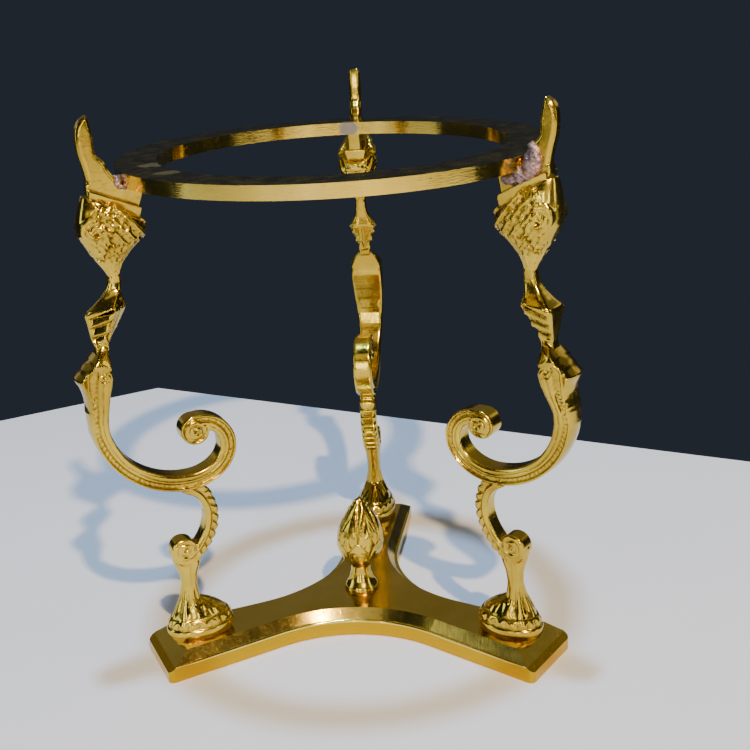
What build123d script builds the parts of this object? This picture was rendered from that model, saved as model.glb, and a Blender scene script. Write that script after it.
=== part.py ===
from build123d import *
import os
from math import acos, atan2, cos, degrees, hypot, sin

# Ornamental brass tripod stand: a flat ring carried by three cast scroll legs on a three-armed base.
# Millimetres. The origin is on the tripod's axis, on the face it stands on, and +Z is up.
# The rear leg stands at +Y, and the other two are a third of a turn to each side.

LEG_ANGLES = {"rear": 90, "left": 210, "right": 330}

# ---- ring ----
RING_OUTER_R = 58.0
RING_BAR_W = 11.0
RING_T = 3.6

# ---- base plate ----
BASE_T = 7.6
BASE_SIDE_H = 4.6
BEVEL_W = 2.6
WAIST_GAP = 15.7  # from the tripod's axis to the middle of each hollow side
WAIST_R = 38.0
ARM_END_HALF = 11.2
END_MARGIN = 12.9  # from the foot's centre to the arm's end
END_SLOPE_RUN = 6.5
END_SLOPE_DROP = 4.4
CORNER_R = 1.6

# ---- leg, heights stacked from the base plate up to the ring's seat and the blade's tip ----
FOOT_H = 12.9
STEM_H = 13.7
SMALL_SCROLL_RISE = 20.5
BIG_SCROLL_R = 22.3
SHOULDER_RISE = 20.0
KNOP_RISE = 9.0
NECK_RISE = 7.5
HEAD_H = 23.4
BLADE_H = 18.2

# ---- leg, sizes across and places along its radius ----
FOOT_AT_R = 51.2
FOOT_LENGTH = 19.6  # along the leg's radius
FOOT_W = 13.6
FOOT_RIM_H = 2.6
DOME_LENGTH = 17.6
DOME_W = 12.0
STEM_OUT = 2.2  # the stem's centre, outwards of the foot's
STEM_LENGTH = 4.9
STEM_W = 4.2
BALL_OUT = 2.2
BALL_R = 4.2
SMALL_BAR = 3.8
SMALL_SCROLL_W = 5.0
SMALL_SCROLL_SAG = 4.6  # the small scroll's bulge towards the tripod's axis
BIG_BAR = 4.7
SCROLL_W = 5.6
BACK_OUT = 13.3  # the big scroll's back, outwards of the ring
TURN_REACH = 11.8  # from the big scroll's lowest point to its innermost one
TURN_RISE = 9.3
CURL_R = 7.3
EYE_R = 4.3
SPUR_OUT = 15.6  # the shoulder's outward point, outwards of the ring
SHOULDER_BAR = 10.4
SHOULDER_W = 10.5
PINCH_OUT = 7.0
PINCH_BAR = 2.8
PINCH_W = 3.2
KNOP_OUT = 5.5
KNOP_BAR = 9.0
KNOP_W = 9.0
KNOP_EDGE_H = 1.0
NECK_OUT = 2.9
NECK_BAR = 3.8
NECK_W = 3.6
HEAD_OUT = 3.0
HEAD_BAR = 19.6
HEAD_W = 10.8
HORN_OUT = 9.2
HORN_BELOW_SEAT = 8.5
HORN_R = 4.1
HORN_HOLLOW_R = 1.6
HORN_W = 10.4
BLADE_T = 3.4
LEDGE_W = 5.5
BLADE_SINK = 8.2  # how far the blade's foot runs down into the head
BLADE_SINK_IN = 3.3  # inner and outer edges of that foot, against the ring's rim
BLADE_SINK_OUT = 8.0
BLADE_HEEL_OUT = 8.6
BLADE_BACK_OUT = 9.4
BLADE_TIP_OUT = 6.2
BLADE_WAIST_OUT = 4.9
SHELF_ABOVE_RING = 0.5  # where the blade leaves the ring's rim

# ---- leg, proportions: shares of a height, a length and a width ----
DOME_STATIONS = [(0.5, 0.9, 0.92), (0.8, 0.62, 0.66), (1.0, 0.4, 0.46)]
STEM_STATIONS = [(-0.35, 1.7, 1.8), (0.0, 1.25, 1.15), (0.3, 1.0, 1.0), (1.0, 1.25, 1.2)]
HEAD_STATIONS = [
    (0.15, 0.38, 0.48),
    (0.3, 0.68, 0.78),
    (0.5, 1.0, 1.0),
    (0.66, 1.0, 0.96),
    (0.82, 0.84, 0.66),
]
COLLAR_AT = 0.93  # share of the head's height where it has narrowed to the blade
COLLAR_LENGTH = 0.74
SPUR_AT = 0.65  # share of the shoulder's height
SHOULDER_START_AT = 0.3
SHOULDER_START_W = 0.8
KNOP_THROAT_AT = 0.4  # share of the height from the knop's rim to the neck
KNOP_THROAT_SIZE = 1.4
BLADE_WIDEST_AT = 0.62  # share of the blade's height
BLADE_WAIST_AT = 0.52

# ---- finial ----
FINIAL_BASE_R = 5.2
FINIAL_BASE_H = 0.9
FINIAL_NECK_R = 2.9
PEDESTAL_H = 7.4
PEDESTAL_WAIST_R = 3.6
BUD_R = 7.1
BUD_H = 21.9
BUD_TIP_R = 0.4
BUD_WIDEST_AT = 0.38  # share of the bud's height
BUD_CUP_R = 5.5
BUD_CUP_AT = 0.16
BUD_UPPER_R = 5.1
BUD_UPPER_AT = 0.72
STUD_R = 2.0
STUD_LEN = 5.0

# ---- leg screws and washers, from under the base ----
SCREW_R = 2.0
SCREW_HEAD_R = 3.7
SCREW_HEAD_H = 2.4
SCREW_SLOT_W = 1.0
SCREW_SLOT_DEPTH = 1.1
SCREW_GRIP = 8.0  # length of thread inside the foot
WASHER_R = 4.3
WASHER_T = 0.8

# ---- clearances ----
HEAD_RECESS = 0.4  # the screw head stays above the face that the stand rests on
HOLE_CLEAR = 0.25
THREAD_CLEAR = 0.03
TIP_CLEAR = 1.0

# ---- brazing between the ring and each leg ----
BRAZE_GAP = 0.25
BRAZE_OUT = 2.6
BRAZE_ALONG = 3.6
BRAZE_H = 3.0

# ---- heights that follow ----
Z_STEM = BASE_T + FOOT_H
Z_BALL = Z_STEM + STEM_H
Z_TURN = Z_BALL + SMALL_SCROLL_RISE
Z_BACK = Z_TURN + BIG_SCROLL_R
Z_PINCH = Z_BACK + SHOULDER_RISE
Z_KNOP = Z_PINCH + KNOP_RISE
Z_NECK = Z_KNOP + NECK_RISE
Z_SEAT = Z_NECK + HEAD_H
Z_TIP = Z_SEAT + BLADE_H
Z_COUNTERBORE = HEAD_RECESS + SCREW_HEAD_H + WASHER_T

# ---- places along the leg's radius that follow ----
RING_INNER_R = RING_OUTER_R - RING_BAR_W
ARM_REACH = FOOT_AT_R + END_MARGIN
R_STEM = FOOT_AT_R + STEM_OUT
R_BALL = FOOT_AT_R + BALL_OUT
R_BACK = RING_OUTER_R + BACK_OUT
R_TURN = R_BACK - BIG_SCROLL_R
R_SPUR = RING_OUTER_R + SPUR_OUT
R_PINCH = RING_OUTER_R + PINCH_OUT
R_KNOP = RING_OUTER_R + KNOP_OUT
R_NECK = RING_OUTER_R + NECK_OUT
R_HEAD = RING_OUTER_R + HEAD_OUT
R_HORN = RING_OUTER_R + HORN_OUT

os.makedirs("parts", exist_ok=True)


def waist_points():
    """One hollow side of the base, as plan points with the side's middle on the local X axis."""
    corner_r = hypot(ARM_REACH, ARM_END_HALF)
    corner_turn = acos(0.5) - atan2(ARM_END_HALF, ARM_REACH)
    corner = Vector(corner_r * cos(corner_turn), corner_r * sin(corner_turn))
    centre_x = WAIST_GAP + WAIST_R
    to_corner = hypot(corner.X - centre_x, corner.Y)
    turn = atan2(corner.Y, corner.X - centre_x) + acos(WAIST_R / to_corner)
    touch = Vector(centre_x + WAIST_R * cos(turn), WAIST_R * sin(turn))
    middle = Vector(WAIST_GAP, 0)
    mirrored = [Vector(p.X, -p.Y) for p in (touch, corner)]
    return [mirrored[1], mirrored[0], middle, touch, corner]


def level_faces(sections):
    """Horizontal sections for a loft, each given as shape, height, centre radius, length and width."""
    faces = []
    for shape, height, centre, length, width in sections:
        with BuildSketch(Plane.XY.offset(height)) as level:
            with Locations((centre, 0)):
                if shape == "oval":
                    Ellipse(length / 2, width / 2)
                else:
                    Rectangle(length, width)
        faces.append(level.sketch.face())
    return faces


# ---- base plate ----
with BuildPart() as base_plate:
    with BuildSketch() as plan:
        with BuildLine():
            starts = []
            ends = []
            for bisector in (30, 150, 270):
                side = [p.rotate(Axis.Z, bisector) for p in waist_points()]
                Line(side[0], side[1])
                ThreePointArc(side[1], side[2], side[3])
                Line(side[3], side[4])
                starts.append(side[0])
                ends.append(side[4])
            for end, start in zip(ends, starts[1:] + starts[:1]):
                Line(end, start)
        make_face()
        fillet(plan.vertices().filter_by(lambda v: Vector(v).length > ARM_REACH), radius=CORNER_R)
    extrude(amount=BASE_SIDE_H)
    bevel_h = BASE_T - BASE_SIDE_H
    top = base_plate.faces().sort_by(Axis.Z)[-1]
    extrude(top, amount=bevel_h, taper=degrees(atan2(BEVEL_W, bevel_h)))
    # each arm's end slopes down to a thinner edge
    for angle in LEG_ANGLES.values():
        slope = END_SLOPE_DROP / END_SLOPE_RUN
        beyond = 2 * END_SLOPE_RUN
        with BuildSketch(Plane.XZ.rotated((0, 0, angle))):
            with BuildLine():
                Polyline(
                    (ARM_REACH - END_SLOPE_RUN, BASE_T),
                    (ARM_REACH - END_SLOPE_RUN + beyond, BASE_T - slope * beyond),
                    (ARM_REACH - END_SLOPE_RUN + beyond, 2 * BASE_T),
                    (ARM_REACH - END_SLOPE_RUN, 2 * BASE_T),
                    close=True,
                )
            make_face()
        extrude(amount=2 * ARM_END_HALF, both=True, mode=Mode.SUBTRACT)
    # screw holes with counterbores for the heads, and the blind tapped hole for the finial
    with PolarLocations(FOOT_AT_R, len(LEG_ANGLES), start_angle=LEG_ANGLES["rear"]):
        low = (Align.CENTER, Align.CENTER, Align.MIN)
        Cylinder(SCREW_R + HOLE_CLEAR, BASE_T, align=low, mode=Mode.SUBTRACT)
        Cylinder(WASHER_R + HOLE_CLEAR, Z_COUNTERBORE, align=low, mode=Mode.SUBTRACT)
    with Locations((0, 0, BASE_T)):
        stud_hole_depth = STUD_LEN + TIP_CLEAR
        high = (Align.CENTER, Align.CENTER, Align.MAX)
        Cylinder(STUD_R + THREAD_CLEAR, stud_hole_depth, align=high, mode=Mode.SUBTRACT)
base_plate.part.label = "base_plate"
export_step(base_plate.part, "parts/base_plate.step")

# ---- one cast leg, standing in the XZ plane with its radius along X ----
with BuildPart() as leg:
    # oval foot: flared rim, then a dome
    rim_top = BASE_T + FOOT_RIM_H
    rim = [
        ("oval", BASE_T, FOOT_AT_R, FOOT_LENGTH, FOOT_W),
        ("oval", rim_top, FOOT_AT_R, DOME_LENGTH, DOME_W),
    ]
    loft(level_faces(rim), ruled=True)
    dome = [rim[1]]
    for up, long, wide in DOME_STATIONS:
        height = rim_top + up * (Z_STEM - rim_top)
        dome.append(("oval", height, FOOT_AT_R, long * DOME_LENGTH, wide * DOME_W))
    loft(level_faces(dome), ruled=False)
    # waisted stem up into the ball
    stem = []
    for up, long, wide in STEM_STATIONS:
        centre = R_STEM + max(up, 0) * (R_BALL - R_STEM)
        stem.append(("oval", Z_STEM + up * STEM_H, centre, long * STEM_LENGTH, wide * STEM_W))
    loft(level_faces(stem), ruled=False)
    with BuildSketch(Plane.XZ):
        with Locations((R_BALL, Z_BALL)):
            Circle(BALL_R)
    extrude(amount=SMALL_SCROLL_W / 2, both=True)
    # small scroll, from under the big one down into the ball
    with BuildSketch(Plane.XZ):
        with BuildLine():
            web = (R_TURN - BIG_BAR / 2, Z_TURN)
            SagittaArc(web, (R_BALL - BALL_R / 2, Z_BALL - BALL_R / 2), -SMALL_SCROLL_SAG)
        trace(line_width=SMALL_BAR)
    extrude(amount=SMALL_SCROLL_W / 2, both=True)
    # big scroll: back, turn and curl are arcs in one smooth run, and the eye closes the curl
    with BuildSketch(Plane.XZ):
        with BuildLine():
            turn_centre = (R_TURN, Z_TURN + TURN_RISE)
            curl_centre = (R_TURN - TURN_REACH + CURL_R, Z_TURN + TURN_RISE)
            JernArc((R_BACK, Z_BACK), (0, -1), BIG_SCROLL_R, -90)
            EllipticalCenterArc(turn_centre, TURN_REACH, TURN_RISE, start_angle=180, arc_size=90)
            CenterArc(curl_centre, CURL_R, 90, 90)
        trace(line_width=BIG_BAR)
        with Locations(Vector(*curl_centre) + Vector(0, CURL_R + BIG_BAR / 2 - EYE_R)):
            Circle(EYE_R)
    extrude(amount=SCROLL_W / 2, both=True)
    # shoulder: the scroll's back widens to an outward spur and draws in to a pinch
    spur_z = Z_BACK + SPUR_AT * SHOULDER_RISE
    start_z = Z_BACK + SHOULDER_START_AT * SHOULDER_RISE
    loft(
        level_faces([
            ("box", Z_BACK - BIG_BAR, R_BACK - BIG_BAR / 10, BIG_BAR, SCROLL_W),
            ("box", start_z, R_BACK, BIG_BAR, SHOULDER_START_W * SHOULDER_W),
            ("box", spur_z, R_SPUR - SHOULDER_BAR / 2, SHOULDER_BAR, SHOULDER_W),
            ("box", Z_PINCH, R_PINCH, PINCH_BAR, PINCH_W),
        ]),
        ruled=True,
    )
    # knop: an upside-down pyramid with a sharp rim, drawn in above to the neck
    throat_z = Z_KNOP + KNOP_THROAT_AT * NECK_RISE
    throat_r = (R_KNOP + R_NECK) / 2
    throat_size = (KNOP_THROAT_SIZE * NECK_BAR, KNOP_THROAT_SIZE * NECK_W)
    loft(
        level_faces([
            ("box", Z_PINCH, R_PINCH, PINCH_BAR, PINCH_W),
            ("box", Z_KNOP - KNOP_EDGE_H, R_KNOP, KNOP_BAR, KNOP_W),
            ("box", Z_KNOP, R_KNOP, KNOP_BAR, KNOP_W),
            ("box", throat_z, throat_r, *throat_size),
            ("box", Z_NECK, R_NECK, NECK_BAR, NECK_W),
        ]),
        ruled=True,
    )
    # head, with a horn curled on each side
    head = [("oval", Z_NECK - KNOP_EDGE_H, R_NECK, NECK_BAR, NECK_W)]
    for up, long, wide in HEAD_STATIONS:
        centre = R_NECK + min(up / HEAD_STATIONS[1][0], 1) * (R_HEAD - R_NECK)
        head.append(("oval", Z_NECK + up * HEAD_H, centre, long * HEAD_BAR, wide * HEAD_W))
    head.append(("oval", Z_NECK + COLLAR_AT * HEAD_H, R_HEAD, COLLAR_LENGTH * HEAD_BAR, BLADE_T))
    loft(level_faces(head), ruled=False)
    with BuildSketch(Plane.XZ):
        with Locations((R_HORN - HORN_R / 2, Z_SEAT - HORN_BELOW_SEAT)):
            Circle(HORN_R)
            Circle(HORN_HOLLOW_R, mode=Mode.SUBTRACT)
    extrude(amount=HORN_W / 2, both=True)
    # flat blade: a ledge under the ring, a seat against its rim, and a pointed leaf above
    seat_r = RING_OUTER_R + BRAZE_GAP
    with BuildSketch(Plane.XZ):
        with BuildLine():
            ledge_end = (RING_OUTER_R - LEDGE_W, Z_SEAT)
            inner_foot = (RING_OUTER_R - BLADE_SINK_IN, Z_SEAT - BLADE_SINK)
            outer_foot = (RING_OUTER_R + BLADE_SINK_OUT, Z_SEAT - BLADE_SINK)
            heel = (RING_OUTER_R + BLADE_HEEL_OUT, Z_SEAT)
            back_edge = (RING_OUTER_R + BLADE_BACK_OUT, Z_SEAT + BLADE_WIDEST_AT * BLADE_H)
            tip = (RING_OUTER_R + BLADE_TIP_OUT, Z_TIP)
            waist = (RING_OUTER_R + BLADE_WAIST_OUT, Z_SEAT + BLADE_WAIST_AT * BLADE_H)
            shelf = (seat_r, Z_SEAT + RING_T + SHELF_ABOVE_RING)
            Polyline(ledge_end, inner_foot, outer_foot, heel)
            Spline(heel, back_edge, tip)
            Line(tip, waist)
            Spline(waist, shelf, tangents=((-0.3, -1), (-0.5, -1)))
            Polyline(shelf, (seat_r, Z_SEAT), ledge_end)
        make_face()
    extrude(amount=BLADE_T / 2, both=True)
    # tapped hole for the screw
    with Locations((FOOT_AT_R, 0, BASE_T)):
        grip_depth = SCREW_GRIP + TIP_CLEAR
        low = (Align.CENTER, Align.CENTER, Align.MIN)
        Cylinder(SCREW_R + THREAD_CLEAR, grip_depth, align=low, mode=Mode.SUBTRACT)

# ---- ring ----
with BuildPart() as ring:
    with BuildSketch(Plane.XY.offset(Z_SEAT)):
        Circle(RING_OUTER_R)
        Circle(RING_INNER_R, mode=Mode.SUBTRACT)
    extrude(amount=RING_T)
ring.part.label = "ring"
export_step(ring.part, "parts/ring.step")

# ---- brazing metal at one leg: a film behind the blade and a bead at each side of it ----
with BuildPart() as braze:
    with BuildSketch(Plane.XY.offset(Z_SEAT)):
        with Locations((RING_OUTER_R, 0)):
            Ellipse(BRAZE_OUT, BRAZE_ALONG)
    extrude(amount=BRAZE_H)
    add(ring.part, mode=Mode.SUBTRACT)
    add(leg.part, mode=Mode.SUBTRACT)

# ---- screw and washer under one foot ----
with BuildPart() as screw:
    with BuildSketch(Plane.XY.offset(HEAD_RECESS)):
        with Locations((FOOT_AT_R, 0)):
            Circle(SCREW_HEAD_R)
    extrude(amount=SCREW_HEAD_H)
    with BuildSketch(Plane.XY.offset(HEAD_RECESS + SCREW_HEAD_H)):
        with Locations((FOOT_AT_R, 0)):
            Circle(SCREW_R)
    extrude(amount=BASE_T + SCREW_GRIP - HEAD_RECESS - SCREW_HEAD_H)
    with BuildSketch(Plane.XY.offset(HEAD_RECESS)):
        with Locations((FOOT_AT_R, 0)):
            Rectangle(SCREW_SLOT_W, 2 * SCREW_HEAD_R)
    extrude(amount=SCREW_SLOT_DEPTH, mode=Mode.SUBTRACT)

with BuildPart() as washer:
    with BuildSketch(Plane.XY.offset(HEAD_RECESS + SCREW_HEAD_H)):
        with Locations((FOOT_AT_R, 0)):
            Circle(WASHER_R)
            Circle(SCREW_R + HOLE_CLEAR, mode=Mode.SUBTRACT)
    extrude(amount=WASHER_T)

# ---- the three sets: leg, brazing, screw and washer at each arm ----
for side_name, angle in LEG_ANGLES.items():
    for kind, made in {"leg": leg, "braze": braze, "leg_screw": screw, "washer": washer}.items():
        with BuildPart() as placed:
            add(made.part.rotate(Axis.Z, angle))
        placed.part.label = f"{kind}_{side_name}"
        export_step(placed.part, f"parts/{kind}_{side_name}.step")

# ---- finial: threaded stud, waisted pedestal and a pointed bud ----
with BuildPart() as finial:
    with BuildSketch(Plane.XZ):
        with BuildLine():
            base_top = BASE_T + FINIAL_BASE_H
            neck_z = BASE_T + PEDESTAL_H
            bud_z = neck_z + BUD_WIDEST_AT * BUD_H
            tip_z = neck_z + BUD_H
            Polyline(
                (0, BASE_T - STUD_LEN),
                (STUD_R, BASE_T - STUD_LEN),
                (STUD_R, BASE_T),
                (FINIAL_BASE_R, BASE_T),
                (FINIAL_BASE_R, base_top),
            )
            pedestal_waist = (PEDESTAL_WAIST_R, BASE_T + PEDESTAL_H / 2)
            ThreePointArc((FINIAL_BASE_R, base_top), pedestal_waist, (FINIAL_NECK_R, neck_z))
            cup = (BUD_CUP_R, neck_z + BUD_CUP_AT * BUD_H)
            ThreePointArc((FINIAL_NECK_R, neck_z), cup, (BUD_R, bud_z))
            upper = (BUD_UPPER_R, neck_z + BUD_UPPER_AT * BUD_H)
            ThreePointArc((BUD_R, bud_z), upper, (BUD_TIP_R, tip_z))
            Polyline((BUD_TIP_R, tip_z), (0, tip_z), (0, BASE_T - STUD_LEN))
        make_face()
    revolve(axis=Axis.Z)
finial.part.label = "finial"
export_step(finial.part, "parts/finial.step")
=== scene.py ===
from math import atan2, cos, pi, radians, sin

import bpy
import numpy as np
from mathutils import Matrix, Vector


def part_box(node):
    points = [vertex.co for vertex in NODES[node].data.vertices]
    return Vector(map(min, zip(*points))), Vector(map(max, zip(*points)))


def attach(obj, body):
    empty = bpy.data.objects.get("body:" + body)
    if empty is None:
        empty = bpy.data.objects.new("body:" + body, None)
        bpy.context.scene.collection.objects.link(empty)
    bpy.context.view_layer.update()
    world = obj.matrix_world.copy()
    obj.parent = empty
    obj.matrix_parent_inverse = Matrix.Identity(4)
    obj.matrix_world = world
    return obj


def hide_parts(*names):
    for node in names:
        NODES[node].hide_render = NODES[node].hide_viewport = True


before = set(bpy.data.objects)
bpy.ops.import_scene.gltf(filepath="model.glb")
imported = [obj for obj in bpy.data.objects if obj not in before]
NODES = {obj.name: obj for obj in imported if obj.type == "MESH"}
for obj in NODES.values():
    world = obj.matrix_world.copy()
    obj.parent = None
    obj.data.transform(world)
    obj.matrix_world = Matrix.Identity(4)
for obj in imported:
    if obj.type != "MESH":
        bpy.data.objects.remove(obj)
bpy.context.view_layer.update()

MM = 0.001

# ---------------------------------------------------------------- sizes read off the frame, in millimetres
RING_LOW, RING_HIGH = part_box("ring")
RING_R = RING_HIGH[0] / MM
SEAT = RING_LOW[2] / MM
BASE_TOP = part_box("base_plate")[1][2] / MM
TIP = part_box("leg_rear")[1][2] / MM

LEG_ANGLES = {"rear": 90.0, "left": 210.0, "right": 330.0}
BEVEL_FOOT = 4.6  # height of the line where the base's bevel meets its lower face
BEAD_R = 0.55
BEAD_SWEEP = 59.5  # degrees that a bead reaches to each side of its hollow side's middle
BEAD_COUNT, BEAD_SIDES = 90, 10  # steps along a bead, and round it
STEP = 0.26  # the sculpting grid's spacing


# ---------------------------------------------------------------- sculpting: a grid of distances, then a skin
def smooth_min(a, b, soft):
    if not soft:
        return np.minimum(a, b)
    h = np.clip(0.5 + 0.5 * (b - a) / soft, 0, 1)
    return b * (1 - h) + a * h - soft * h * (1 - h)


def smooth_max(a, b, soft):
    return -smooth_min(-a, -b, soft)


def highest(*values):
    top = values[0]
    for value in values[1:]:
        top = np.maximum(top, value)
    return top


def rise(t, start, end):
    """0 before start, 1 after end, and smooth between them."""
    u = np.clip((t - start) / (end - start), 0, 1)
    return u * u * (3 - 2 * u)


def bump(t, centre, half):
    """A smooth hump, 1 at the centre and 0 beyond half."""
    return 1 - rise(np.abs(t - centre), 0, half)


def through(t, stations, column):
    """A smooth curve through one column of the stations, with no overshoot."""
    at = np.array([s[0] for s in stations], float)
    value = np.array([s[column] for s in stations], float)
    slope = np.diff(value) / np.diff(at)
    tangent = np.zeros(len(at))
    product = slope[:-1] * slope[1:]
    together = np.abs(slope[:-1] + slope[1:]) + 1e-9
    tangent[1:-1] = np.where(product > 0, 2 * product / together * np.sign(slope[1:]), 0)
    tangent[0], tangent[-1] = slope[0], slope[-1]
    i = np.clip(np.searchsorted(at, t, side="right") - 1, 0, len(at) - 2)
    width = at[i + 1] - at[i]
    u = np.clip((t - at[i]) / width, 0, 1)
    a = value[i] + tangent[i] * width * u * (1 - u) ** 2
    b = value[i + 1] - tangent[i + 1] * width * (1 - u) * u ** 2
    s = u * u * (3 - 2 * u)
    return a * (1 - s) + b * s


def lumps(x, y, z, size, seed):
    """Uneven waves about one size long, between about -1 and 1."""
    rng = np.random.default_rng(seed)
    total = 0
    for _ in range(7):
        way = rng.normal(size=3)
        way *= 2 * pi / size / np.linalg.norm(way) * rng.uniform(0.7, 1.4)
        total = total + np.sin(way[0] * x + way[1] * y + way[2] * z + rng.uniform(0, 2 * pi))
    return total / 3


def largest_part(vertices, quads):
    """The biggest connected piece of a skin, without the specks that deep relief can leave beside it."""
    label = np.arange(len(vertices))
    while True:
        lowest = label[quads].min(axis=1)
        new = label.copy()
        np.minimum.at(new, quads.ravel(), np.repeat(lowest, 4))
        new = new[new]
        if (new == label).all():
            break
        label = new
    names, count = np.unique(label, return_counts=True)
    keep = label == names[np.argmax(count)]
    index = np.cumsum(keep) - 1
    return vertices[keep], index[quads[keep[quads[:, 0]]]]


class Field:
    """Signed distances on a regular grid. Solids are joined to it, each inside a box."""

    def __init__(self, low, high, step):
        self.low, self.step = np.array(low, float), step
        self.axes = [np.arange(a, b + step, step) for a, b in zip(low, high)]
        self.value = np.full([len(a) for a in self.axes], 5.0)

    def window(self, low, high):
        where, points = [], []
        for n, (axis, a, b) in enumerate(zip(self.axes, low, high)):
            i, j = np.searchsorted(axis, [a, b])
            where.append(slice(i, j))
            shape = [1, 1, 1]
            shape[n] = j - i
            points.append(axis[i:j].reshape(shape))
        return tuple(where), points

    def join(self, low, high, solid, soft=0.0):
        where, (x, y, z) = self.window(low, high)
        self.value[where] = smooth_min(self.value[where], solid(x, y, z), soft)

    def raise_by(self, low, high, height):
        where, (x, y, z) = self.window(low, high)
        self.value[where] = self.value[where] - height(x, y, z)

    def sample(self, points):
        g = (points - self.low) / self.step
        i = np.clip(np.floor(g).astype(int), 0, np.array(self.value.shape) - 2)
        u = g - i
        total = 0
        for dx in (0, 1):
            for dy in (0, 1):
                for dz in (0, 1):
                    weight = (
                        np.abs(1 - dx - u[:, 0]) * np.abs(1 - dy - u[:, 1]) * np.abs(1 - dz - u[:, 2])
                    )
                    total = total + weight * self.value[i[:, 0] + dx, i[:, 1] + dy, i[:, 2] + dz]
        return total

    def skin(self):
        """Vertices and quads of the zero level: one vertex in each cell that the surface crosses."""
        v = self.value
        cell_shape = [n - 1 for n in v.shape]
        found = []
        for axis in range(3):
            lower = tuple(slice(0, -1) if n == axis else slice(None) for n in range(3))
            upper = tuple(slice(1, None) if n == axis else slice(None) for n in range(3))
            a, b = v[lower], v[upper]
            at = np.argwhere((a < 0) != (b < 0))
            others = [n for n in range(3) if n != axis]
            ok = np.all([(at[:, n] > 0) & (at[:, n] < cell_shape[n]) for n in others], axis=0)
            at = at[ok]
            start = a[tuple(at.T)]
            t = start / (start - b[tuple(at.T)])
            point = at.astype(float)
            point[:, axis] += t
            cells = []
            for step_one, step_two in ((0, 0), (1, 0), (1, 1), (0, 1)):
                cell = at.copy()
                cell[:, others[0]] -= step_one
                cell[:, others[1]] -= step_two
                cells.append(np.ravel_multi_index(tuple(cell.T), cell_shape))
            outward = (start < 0) == (axis != 1)
            found.append((np.stack(cells, 1), point, outward))
        all_cells = np.concatenate([c.ravel() for c, _, _ in found])
        _, index = np.unique(all_cells, return_inverse=True)
        index = index.ravel()
        points = np.concatenate([np.repeat(p, 4, axis=0) for _, p, _ in found])
        count = np.bincount(index)
        vertices = np.stack([np.bincount(index, points[:, n]) / count for n in range(3)], 1)
        quads, start = [], 0
        for cells, _, outward in found:
            quad = index[start:start + cells.size].reshape(-1, 4)
            start += cells.size
            quads.append(np.where(outward[:, None], quad, quad[:, ::-1]))
        vertices = vertices * self.step + self.low
        for _ in range(3):
            h = 0.5 * self.step
            level = self.sample(vertices)
            slope = np.stack(
                [(self.sample(vertices + e) - self.sample(vertices - e)) / (2 * h) for e in np.eye(3) * h], 1
            )
            move = level[:, None] * slope / np.maximum((slope ** 2).sum(1), 0.3)[:, None]
            vertices = vertices - np.clip(move, -0.4 * self.step, 0.4 * self.step)
        return largest_part(vertices, np.concatenate(quads))


def make_object(name, vertices, quads):
    """A smooth-shaded mesh object from millimetre points in the row frame."""
    mesh = bpy.data.meshes.new(name)
    mesh.vertices.add(len(vertices))
    mesh.vertices.foreach_set("co", (vertices * MM).astype(np.float32).ravel())
    mesh.loops.add(quads.size)
    mesh.loops.foreach_set("vertex_index", quads.astype(np.int32).ravel())
    mesh.polygons.add(len(quads))
    mesh.polygons.foreach_set("loop_start", np.arange(0, quads.size, 4, dtype=np.int32))
    mesh.update(calc_edges=True)
    mesh.polygons.foreach_set("use_smooth", np.ones(len(quads), bool))
    obj = bpy.data.objects.new(name, mesh)
    bpy.context.scene.collection.objects.link(obj)
    return obj


# ---------------------------------------------------------------- plain solids for the fields
def stack(stations, power=2.0, smooth=True):
    """Solid of level sections, each (height, centre, half length, half width)."""
    low, high = stations[0][0], stations[-1][0]

    def solid(x, y, z):
        if smooth:
            centre, long, wide = (through(z, stations, n) for n in (1, 2, 3))
        else:
            heights = [s[0] for s in stations]
            centre, long, wide = (np.interp(z, heights, [s[n] for s in stations]) for n in (1, 2, 3))
        p = (np.abs(x - centre) / long) ** power + (np.abs(y) / wide) ** power
        side = (p ** (1 / power) - 1) * np.minimum(long, wide)
        return smooth_max(side, np.maximum(low - z, z - high), 0.15)

    return solid


def outline(points, x, z):
    """Signed distance from a closed outline in the leg's plane."""
    corners = np.array(points, float)
    nearest, inside = 1e9, False
    for a, b in zip(corners, np.roll(corners, -1, axis=0)):
        along = b - a
        px, pz = x - a[0], z - a[1]
        t = np.clip((px * along[0] + pz * along[1]) / (along @ along), 0, 1)
        nearest = np.minimum(nearest, np.hypot(px - t * along[0], pz - t * along[1]))
        above_a, above_b = z >= a[1], z >= b[1]
        left = (b[0] - a[0]) * (z - a[1]) - (x - a[0]) * (b[1] - a[1])
        inside = inside ^ ((above_a & ~above_b & (left > 0)) | (~above_a & above_b & (left < 0)))
    return np.where(inside, -nearest, nearest)


def arc(centre, radii, start, end, count=24):
    """Points of an elliptical arc in the leg's plane, angles in degrees."""
    t = np.radians(np.linspace(start, end, count))
    return [(centre[0] + radii[0] * cos(a), centre[1] + radii[1] * sin(a)) for a in t]


def spline(points, count=14):
    """Catmull-Rom points through a few guides."""
    p = np.array([points[0], *points, points[-1]], float)
    out = []
    for i in range(1, len(p) - 2):
        for t in np.linspace(0, 1, count, endpoint=i == len(p) - 3):
            out.append(
                0.5 * (2 * p[i] + (p[i + 1] - p[i - 1]) * t
                       + (2 * p[i - 1] - 5 * p[i] + 4 * p[i + 1] - p[i + 2]) * t ** 2
                       + (3 * p[i] - p[i - 1] - 3 * p[i + 1] + p[i + 2]) * t ** 3)
            )
    return out


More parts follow.
